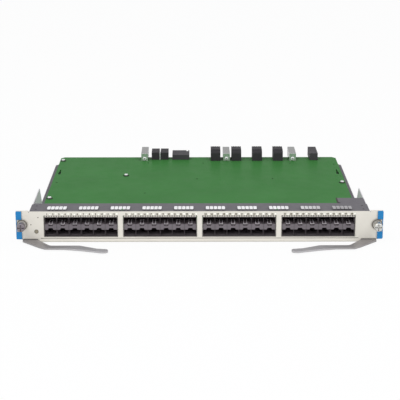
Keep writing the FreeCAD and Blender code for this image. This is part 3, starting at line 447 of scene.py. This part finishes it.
# Marks over the ports: a plain number and a light pipe for each, which points up or down to its row
MARK_HEIGHT = 34.2 * MM
MARK_SIDE = PORT_PITCH / 4
NUMBER_SIZE = 2.9 * MM
NUMBER_SHIFT = -0.3 * MM
NUMBER_RISE = 0.03 * MM
NUMBER_BOLD = 0.16 * MM
PIPE_SHIFT = 3.3 * MM
PIPE_WIDTH = 2.5 * MM
PIPE_PROUD = 0.22 * MM


def mark_places():
    """Each port's number, the place across of its marks, and whether it is in the upper row."""
    number = 1
    for cage in CAGES:
        for middle in port_middles(cage):
            yield number, middle - MARK_SIDE, True
            yield number + 1, middle + MARK_SIDE, False
            number += 2


def number_mesh(number):
    """The outline of a plain number as a thin mesh, centred on its own origin."""
    curve = bpy.data.curves.new("number", "FONT")
    curve.body = str(number)
    curve.size = NUMBER_SIZE
    curve.align_x = "CENTER"
    curve.align_y = "CENTER"
    curve.extrude = NUMBER_RISE / 2
    curve.offset = NUMBER_BOLD
    curve.resolution_u = 3
    text = bpy.data.objects.new("number", curve)
    mesh = bpy.data.meshes.new_from_object(text)
    bpy.data.objects.remove(text)
    return mesh


def port_numbers():
    form = Form()
    for number, across, _ in mark_places():
        mesh = number_mesh(number)
        turned = Matrix.Rotation(math.pi / 2, 4, "X")
        spot = Vector((across + NUMBER_SHIFT, PANEL_FRONT, MARK_HEIGHT))
        mesh.transform(Matrix.Translation(spot) @ turned)
        form.mesh.from_mesh(mesh)
        bpy.data.meshes.remove(mesh)
    form.finish("port_numbers", OLIVE_PRINT_AND_HOLE_SHADE, "panel_paint")


def light_pipes():
    form = Form()
    for _, across, upper in mark_places():
        spot = Vector((across + PIPE_SHIFT, PANEL_FRONT, MARK_HEIGHT))
        way = 1 if upper else -1
        sections = []
        for share, height in ((1, -PIPE_PROUD), (1, PIPE_PROUD * 0.6), (0.82, PIPE_PROUD)):
            half = PIPE_WIDTH / 2 * share
            sections.append(([(-half, -half * way), (half, -half * way), (0, half * way)], height))
        form.loft(spot, FRONT, sections)
    form.finish("light_pipes", PIPE_WHITE, "lens")


# Latch tabs: on each upper port's floor, a tongue whose rolled rim hangs over the notch at the front,
# rises towards the back and narrows there
TAB_FRONT = 0.9 * MM
TAB_LENGTH = 13.5 * MM
TAB_FRONT_WIDTH = 5.0 * MM
TAB_REAR_WIDTH = 4.0 * MM
TAB_RIM = 0.75 * MM
TAB_DROP = 0.1 * MM
TAB_FRONT_RISE = 0.5 * MM
TAB_REAR_RISE = 1.7 * MM


def latch_tabs(cage):
    form = Form()
    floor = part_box(f"cage_separators_{cage}")[1].z
    front = PANEL_FRONT + TAB_FRONT
    rear = front + TAB_LENGTH
    corners = [(-TAB_REAR_WIDTH / 2, rear), (-TAB_FRONT_WIDTH / 2, front),
               (TAB_FRONT_WIDTH / 2, front), (TAB_REAR_WIDTH / 2, rear)]
    for middle in port_middles(cage):
        rings = []
        for across, depth in corners:
            at_front = depth == front
            low = floor - (TAB_DROP if at_front else 0)
            high = floor + (TAB_FRONT_RISE if at_front else TAB_REAR_RISE)
            inner_across = across - math.copysign(TAB_RIM, across)
            inner_depth = depth + (TAB_RIM if at_front else 0)
            outer = Vector((middle + across, depth, 0))
            inner = Vector((middle + inner_across, inner_depth, 0))
            up = Vector((0, 0, 1))
            shoulder = low + (high - low) * 0.8
            rings.append([outer + up * low, outer + up * shoulder, (outer + inner) / 2 + up * high,
                          inner + up * shoulder, inner + up * low])
        form.skin(rings)
    form.finish(f"latch_tabs_{cage}", TAB_LIT_METAL, "cage_metal")


# Contact pads: a crowned pad on top of each spring finger of the shield's clips, painted near white as
# their glint
CLIP_GROUPS = 10
CLIP_FINGERS = 5
FINGER_PITCH = 4.66 * MM
FINGER_WIDTH = 3.4 * MM
PAD_WIDTH = 4.0 * MM
PAD_START = 4.4 * MM
PAD_LENGTH = 11.6 * MM
PAD_THICKNESS = 0.3 * MM
PAD_CROWN = 0.35 * MM
PAD_STEPS = 8
# Cross-section of a pad, as shares of its half width and its thickness
PAD_SECTION = ((-1, 0.3), (-0.9, 0), (0.9, 0), (1, 0.3), (1, 0.7), (0.85, 1), (-0.85, 1), (-1, 0.7))


def pad_rings(middle, height):
    """Cross-sections of one pad from its front to its rear, narrow at both ends and highest between."""
    rings = []
    for step in range(PAD_STEPS + 1):
        share = step / PAD_STEPS
        swell = math.sin(math.pi * share)
        half = PAD_WIDTH / 2 * (0.7 + 0.3 * min(1, swell * 2.5))
        lift = height + PAD_CROWN * (swell - 1)
        y = PANEL_FRONT + PAD_START + PAD_LENGTH * share
        ring = []
        for across, rise in PAD_SECTION:
            ring.append(Vector((middle + half * across, y, lift + PAD_THICKNESS * rise)))
        rings.append(ring)
    return rings


def contact_pads():
    low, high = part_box("contact_clips")
    half = (FINGER_PITCH * (CLIP_FINGERS - 1) + FINGER_WIDTH) / 2
    pitch = (high.x - low.x - 2 * half) / (CLIP_GROUPS - 1)
    form = Form()
    for group in range(CLIP_GROUPS):
        middle = low.x + half + pitch * group
        for finger in range(CLIP_FINGERS):
            shift = FINGER_PITCH * (finger - (CLIP_FINGERS - 1) / 2)
            form.skin(pad_rings(middle + shift, high.z))
    form.finish("contact_pads", GLINTING_CLIP_PADS, "spring_steel")


# Captive screws: a knurled band round each knob and a thread towards the tip
KNURL_TEETH = 40
KNURL_RISE = 0.12 * MM
KNURL_WALL = 0.3 * MM
KNURL_START = 1.0 * MM
KNURL_LENGTH = 5.6 * MM
KNURL_LEAD = 0.35 * MM
THREAD_PITCH = 0.7 * MM
THREAD_TURNS = 13
THREAD_STEPS = 24
THREAD_RISE = 0.14 * MM
SHANK_RADIUS = 2.0 * MM


def knob_knurl(side, material):
    low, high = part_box(f"{side}_captive_screw")
    radius = (high.x - low.x) / 2
    centre = Vector(((low.x + high.x) / 2, low.y + KNURL_START, (low.z + high.z) / 2))
    count = KNURL_TEETH * 4
    teeth = lobed(radius + KNURL_RISE / 2, KNURL_RISE, KNURL_TEETH, count)
    inner = circle(radius - KNURL_WALL, count)
    right, up, out = FRONT
    form = Form()
    form.loft(centre, (right, up, -out), [
        (inner, 0), (circle(radius, count), 0), (teeth, KNURL_LEAD), (teeth, KNURL_LENGTH - KNURL_LEAD),
        (circle(radius, count), KNURL_LENGTH), (inner, KNURL_LENGTH)], closed=True)
    form.finish(f"{side}_knob_knurl", material, "screw_steel", f"{side}_screw")


def screw_thread(side, material):
    low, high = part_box(f"{side}_captive_screw")
    x = (low.x + high.x) / 2
    z = (low.z + high.z) / 2
    start = high.y - THREAD_PITCH * (THREAD_TURNS + 1)
    root = SHANK_RADIUS - THREAD_RISE
    crest = SHANK_RADIUS + THREAD_RISE / 2
    rings = []
    for step in range(THREAD_TURNS * THREAD_STEPS + 1):
        angle = math.tau * step / THREAD_STEPS
        y = start + THREAD_PITCH * step / THREAD_STEPS
        ring = []
        for reach, shift in ((root, -THREAD_PITCH * 0.45), (crest, -THREAD_PITCH * 0.08),
                             (crest, THREAD_PITCH * 0.08), (root, THREAD_PITCH * 0.45)):
            ring.append(Vector((x + reach * math.cos(angle), y + shift, z + reach * math.sin(angle))))
        rings.append(ring)
    form = Form()
    form.skin(rings)
    form.finish(f"{side}_screw_thread", material, "screw_steel", f"{side}_screw")


# Springs: round wire behind each knob
WIRE_RADIUS = 0.25 * MM
SPRING_TURNS = 3
SPRING_STEPS = 36
WIRE_SIDES = 8


def screw_spring(side):
    low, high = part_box(f"{side}_screw_spring")
    x = (low.x + high.x) / 2
    z = (low.z + high.z) / 2
    coil = (high.x - low.x) / 2 - WIRE_RADIUS
    start = low.y + WIRE_RADIUS
    length = high.y - low.y - 2 * WIRE_RADIUS
    rings = []
    for step in range(SPRING_TURNS * SPRING_STEPS + 1):
        angle = math.tau * step / SPRING_STEPS
        outward = Vector((math.cos(angle), 0, math.sin(angle)))
        middle = Vector((x, start + length * step / (SPRING_TURNS * SPRING_STEPS), z)) + outward * coil
        ring = []
        for across, along in circle(WIRE_RADIUS, WIRE_SIDES):
            ring.append(middle + outward * across + Vector((0, along, 0)))
        rings.append(ring)
    form = Form()
    form.skin(rings)
    spring = form.finish(f"{side}_round_spring", FINISHES["spring_steel"], "spring_steel", sharp=60)
    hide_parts(f"{side}_screw_spring")
    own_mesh(spring)


# Ferrules: a dark ring round the rim of each flange, painted as the shadow there
FLANGE_BORE = 0.88
FLANGE_RING_RISE = 0.15 * MM


def flange_rings():
    form = Form()
    for side in SIDES:
        low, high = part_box(f"{side}_ferrule")
        radius = (high.x - low.x) / 2
        centre = Vector(((low.x + high.x) / 2, low.y, (low.z + high.z) / 2))
        form.loft(centre, FRONT, [
            (circle(radius * FLANGE_BORE, 48), 0), (circle(radius * FLANGE_BORE, 48), FLANGE_RING_RISE),
            (circle(radius * 0.99, 48), FLANGE_RING_RISE), (circle(radius, 48), 0)], closed=True)
    form.finish("flange_rings", BEZEL_AND_RIM_SHADE, "screw_steel")


# Status lens: a dark rolled bezel round it, and two pin holes near it
BEZEL_RADIUS = 2.45 * MM
BEZEL_RISE = 0.3 * MM
BEZEL_LIP = 0.1 * MM
BEZEL_ROLL = 0.15 * MM
PIN_HOLES = ((-198.1, 21.4), (-189.5, 30.4))
PIN_RADIUS = 0.65 * MM
PIN_BORE = 0.4 * MM
PIN_RISE = 0.06 * MM


def status_bezel():
    low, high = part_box("status_lens")
    centre = Vector(((low.x + high.x) / 2, PANEL_FRONT, (low.z + high.z) / 2))
    bore = (high.x - low.x) / 2
    form = Form()
    form.loft(centre, FRONT, [
        (circle(bore, 32), 0), (circle(bore + BEZEL_LIP, 32), BEZEL_RISE),
        (circle(BEZEL_RADIUS - BEZEL_ROLL, 32), BEZEL_RISE), (circle(BEZEL_RADIUS, 32), 0)], closed=True)
    form.finish("status_bezel", BEZEL_AND_RIM_SHADE, "lens")


def pin_holes():
    form = Form()
    for across, height in PIN_HOLES:
        # Painted shade: each pin hole is a shallow ring in the print's dark olive, standing in for its
        # shade
        form.eyelet(place(across, 0, height), FRONT, PIN_RADIUS, PIN_BORE, PIN_RISE)
    form.finish("pin_holes", OLIVE_PRINT_AND_HOLE_SHADE, "panel_paint")


# Dome screws with a six-lobed recess, on the guide blocks' front faces and on the board
DOME_RADIUS = 2.6 * MM
DOME_RISE = 1.5 * MM
DOME_HEIGHT = 3.3 * MM


def dome(form, centre, way, radius, rise):
    sections = [(circle(radius, 36), 0), (circle(radius, 36), rise * 0.3)]
    for share in (0.92, 0.8, 0.66, 0.5):
        sections.append((circle(radius * share, 36), rise * (0.3 + 0.7 * math.sqrt(1 - share ** 2))))
    top = sections[-1][1]
    sections.append((lobed(radius * 0.36, radius * 0.05, 6, 36), top))
    sections.append((lobed(radius * 0.34, radius * 0.05, 6, 36), top * 0.45))
    form.loft(centre, way, sections)


def guide_screws():
    form = Form()
    for number in GUIDES:
        low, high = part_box(f"guide_block_{number}")
        centre = Vector(((low.x + high.x) / 2, low.y, BOARD_TOP + DOME_HEIGHT))
        dome(form, centre, FRONT, DOME_RADIUS, DOME_RISE)
    form.finish("guide_screws", POLISHED, "guide_metal")


# Board screws: a polished dome on each hexagon, and a dark ring round it, painted as the head's shadow
SCREW_PLACES = ((-193.3, 340.6), (-193.3, 156.0), (193.1, 228.0), (-99.6, 263.0))
HEAD_RADIUS = 2.3 * MM
HEAD_RISE = 1.6 * MM
RING_RADIUS = 4.4 * MM
RING_BORE = 2.9 * MM
RING_RISE = 0.12 * MM


def board_screw_heads():
    form = Form()
    head_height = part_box("board_screws")[1].z / MM
    for across, depth in SCREW_PLACES:
        dome(form, place(across, depth, head_height), TOP, HEAD_RADIUS, HEAD_RISE)
    form.finish("board_screw_heads", POLISHED, "screw_steel")


def board_screw_rings():
    form = Form()
    for across, depth in SCREW_PLACES:
        form.loft(place(across, depth, BOARD_TOP / MM), TOP, [
            (circle(RING_BORE, 32), 0), (circle(RING_BORE, 32), RING_RISE),
            (circle(RING_RADIUS * 0.97, 32), RING_RISE), (circle(RING_RADIUS, 32), 0)], closed=True)
    form.finish("board_screw_rings", PAINTED_HOLE_SHADE, "board_green")


# Corner bracket: a rolled hem along its left edge, painted dark as the shade along it
HEM_RADIUS = 1.1 * MM
HEM_STEPS = 10


def bracket_hem():
    low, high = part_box("corner_bracket")
    rings = []
    for depth in (low.y, high.y):
        ring = []
        for across, rise in circle(HEM_RADIUS, HEM_STEPS * 2):
            ring.append(Vector((low.x + across, depth, high.z - HEM_RADIUS * 0.6 + rise)))
        rings.append(ring)
    form = Form()
    form.skin(rings)
    form.finish("bracket_hem", SHADED_HEM, "dark_sheet")


# Power connector: a pale rib in the gap between its two modules, painted pale as the light seen through the
# gap
RIB_WIDTH = 1.3 * MM
RIB_DEPTH = 6 * MM
RIB_PROUD = 0.3 * MM
RIB_SHORT = 0.6 * MM


def power_rib():
    low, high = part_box("power_connector")
    top = high.z - RIB_SHORT
    centre = Vector(((low.x + high.x) / 2, low.y, (BOARD_TOP + top) / 2))
    tall = top - BOARD_TOP
    form = Form()
    form.loft(centre, FRONT, [
        (oblong(RIB_WIDTH, tall), -RIB_DEPTH), (oblong(RIB_WIDTH, tall), RIB_PROUD * 0.6),
        (oblong(RIB_WIDTH * 0.7, tall - RIB_PROUD), RIB_PROUD)])
    form.finish("power_rib", GAP_LIGHT_RIB, "black_plastic")


# Board: tooling holes with sunk rims, painted dark as the shade in them
VIA_PLACES = ((-71.0, 180.0), (-2.5, 247.0), (100.5, 248.0), (-191.6, 230.0), (-71.2, 329.0), (6.5, 327.0),
              (130.0, 327.0), (191.5, 321.0))
HOLE_RADIUS = 1.3 * MM
HOLE_BORE = 0.8 * MM
HOLE_RISE = 0.05 * MM


def tooling_holes():
    form = Form()
    board_height = BOARD_TOP / MM
    for across, depth in VIA_PLACES:
        form.eyelet(place(across, depth, board_height), TOP, HOLE_RADIUS, HOLE_BORE, HOLE_RISE)
    form.finish("tooling_holes", PAINTED_HOLE_SHADE, "board_green")


# Cage roofs: two rows of pressed eyelets behind the shield
EYELET_DEPTHS = (37.5, 43.5)
EYELET_SHIFT = 0.22 * PORT_PITCH
EYELET_RISE = 0.2 * MM


def cage_eyelets(cage):
    form = Form()
    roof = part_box(f"port_cage_{cage}")[1].z
    for middle in port_middles(cage):
        for depth in EYELET_DEPTHS:
            for shift in (-EYELET_SHIFT, EYELET_SHIFT):
                spot = Vector((middle + shift, PANEL_FRONT + depth * MM, roof))
                form.eyelet(spot, TOP, HOLE_RADIUS, HOLE_BORE, EYELET_RISE)
    form.finish(f"cage_eyelets_{cage}", PORT_SHADE_FINISH, "cage_metal")


# Rear connectors: gold contacts on the wafers of the signal connectors
WAFER_PITCH = 3.4 * MM
WAFERS = 5
CONTACT_ROWS = 6
CONTACT_WIDTH = 0.9 * MM
CONTACT_TALL = 1.2 * MM
CONTACT_PROUD = 0.15 * MM


def signal_contacts(number):
    low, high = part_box(f"signal_connector_{number}")
    middle = (low.x + high.x) / 2
    pitch = (high.z - low.z) / (CONTACT_ROWS + 1)
    form = Form()
    for wafer in range(WAFERS):
        width = CONTACT_WIDTH if 0 < wafer < WAFERS - 1 else CONTACT_WIDTH * 0.5
        shift = WAFER_PITCH * (wafer - (WAFERS - 1) / 2)
        shift = max(min(shift, (high.x - low.x) / 2 - width), width - (high.x - low.x) / 2)
        for row in range(CONTACT_ROWS):
            spot = Vector((middle + shift, high.y, low.z + pitch * (row + 1)))
            foot = oblong(width, CONTACT_TALL)
            crown = oblong(width * 0.6, CONTACT_TALL * 0.7)
            form.loft(spot, REAR, [
                (foot, -CONTACT_PROUD), (foot, CONTACT_PROUD * 0.5), (crown, CONTACT_PROUD)])
    form.finish(f"signal_contacts_{number}", GOLD, "black_plastic")


port_numbers()
light_pipes()
for cage in CAGES:
    latch_tabs(cage)
    cage_eyelets(cage)
for side, finish in zip(SIDES, (FINISHES["screw_steel"], LIT_KNOB)):
    knob_knurl(side, finish)
    screw_thread(side, finish)
    screw_spring(side)
flange_rings()
status_bezel()
pin_holes()
bracket_hem()
guide_screws()
board_screw_heads()
board_screw_rings()
power_rib()
contact_pads()
tooling_holes()
for number in SIGNALS:
    signal_contacts(number)


# Camera at the photograph's place: 1431 mm in front of the panel and 489 mm above the floor
CAMERA_DISTANCE = 1431 * MM
CAMERA_HEIGHT = 489 * MM
CAMERA_ACROSS = -7.1 * MM
CAMERA_DOWN = math.radians(17.0)
CAMERA_YAW = math.radians(-0.3)
FOCAL_PIXELS = 1282
IMAGE_PIXELS = 400
SENSOR = 36.0
FAR_CLIP = 30


def make_camera():
    data = bpy.data.cameras.new("camera")
    data.sensor_width = SENSOR
    data.lens = FOCAL_PIXELS * SENSOR / IMAGE_PIXELS
    data.clip_end = FAR_CLIP
    camera = bpy.data.objects.new("camera", data)
    camera.location = (CAMERA_ACROSS, PANEL_FRONT - CAMERA_DISTANCE, CAMERA_HEIGHT)
    camera.rotation_euler = (math.pi / 2 - CAMERA_DOWN, 0, CAMERA_YAW)
    scene.collection.objects.link(camera)
    scene.camera = camera


def seen_share(tree):
    """1 where a surface is seen straight on, in gloss or through glass, and 0 where it only lights."""
    path = tree.nodes.new("ShaderNodeLightPath")
    total = path.outputs["Is Camera Ray"]
    for name in ("Is Glossy Ray", "Is Transmission Ray"):
        larger = tree.nodes.new("ShaderNodeMath")
        larger.operation = "MAXIMUM"
        tree.links.new(total, larger.inputs[0])
        tree.links.new(path.outputs[name], larger.inputs[1])
        total = larger.outputs[0]
    return total


# The world's light on the object
SKY_COLOUR = (0.95, 0.97, 1.0, 1)
SKY_STRENGTH = 0.62
WHITE = (1, 1, 1, 1)


def make_world():
    """White where it is seen, and a plain pale light on the object."""
    world = bpy.data.worlds.new("studio")
    scene.world = world
    world.use_nodes = True
    tree = world.node_tree
    tree.nodes.clear()
    lit = tree.nodes.new("ShaderNodeBackground")
    lit.inputs["Color"].default_value = SKY_COLOUR
    lit.inputs["Strength"].default_value = SKY_STRENGTH
    seen = tree.nodes.new("ShaderNodeBackground")
    seen.inputs["Color"].default_value = WHITE
    seen.inputs["Strength"].default_value = 1.0
    mix = tree.nodes.new("ShaderNodeMixShader")
    output = tree.nodes.new("ShaderNodeOutputWorld")
    tree.links.new(seen_share(tree), mix.inputs[0])
    tree.links.new(lit.outputs[0], mix.inputs[1])
    tree.links.new(seen.outputs[0], mix.inputs[2])
    tree.links.new(mix.outputs[0], output.inputs[0])


# How much of the floor's seen colour is plain white, and how much is lit and shaded
FLOOR_GLOW = 0.93
FLOOR_SIZE = 12
FLOOR_DROP = 0.02 * MM


def make_floor():
    """A white floor that keeps a faint shadow."""
    bpy.ops.mesh.primitive_plane_add(size=FLOOR_SIZE, location=(0, 0, -FLOOR_DROP))
    floor = bpy.context.object
    floor.name = "floor"
    material = bpy.data.materials.new("floor_white")
    material.use_nodes = True
    tree = material.node_tree
    surface = next(node for node in tree.nodes if node.type == "BSDF_PRINCIPLED")
    surface.inputs["Base Color"].default_value = (0.98, 0.98, 0.98, 1)
    surface.inputs["Roughness"].default_value = 0.9
    glow = tree.nodes.new("ShaderNodeEmission")
    glow.inputs["Color"].default_value = WHITE
    share = tree.nodes.new("ShaderNodeMath")
    share.operation = "MULTIPLY"
    share.inputs[1].default_value = FLOOR_GLOW
    tree.links.new(seen_share(tree), share.inputs[0])
    mix = tree.nodes.new("ShaderNodeMixShader")
    output = next(node for node in tree.nodes if node.type == "OUTPUT_MATERIAL")
    tree.links.new(share.outputs[0], mix.inputs[0])
    tree.links.new(surface.outputs[0], mix.inputs[1])
    tree.links.new(glow.outputs[0], mix.inputs[2])
    tree.links.new(mix.outputs[0], output.inputs["Surface"])
    floor.data.materials.append(material)


# Lamps: name, place in metres, width in metres and power in watts
LAMPS = (("key_lamp", (-0.9, -1.3, 1.6), 1.4, 14), ("fill_lamp", (1.2, -0.9, 1.3), 1.2, 7))


def make_lamp(name, spot, width, power):
    """A square lamp that points at the middle of the card's underside."""
    data = bpy.data.lights.new(name, "AREA")
    data.shape = "SQUARE"
    data.size = width
    data.energy = power
    lamp = bpy.data.objects.new(name, data)
    lamp.location = spot
    lamp.rotation_euler = (-Vector(spot)).to_track_quat("-Z", "Y").to_euler()
    scene.collection.objects.link(lamp)


make_camera()
make_world()
make_floor()
for lamp in LAMPS:
    make_lamp(*lamp)
scene.view_settings.view_transform = "Standard"
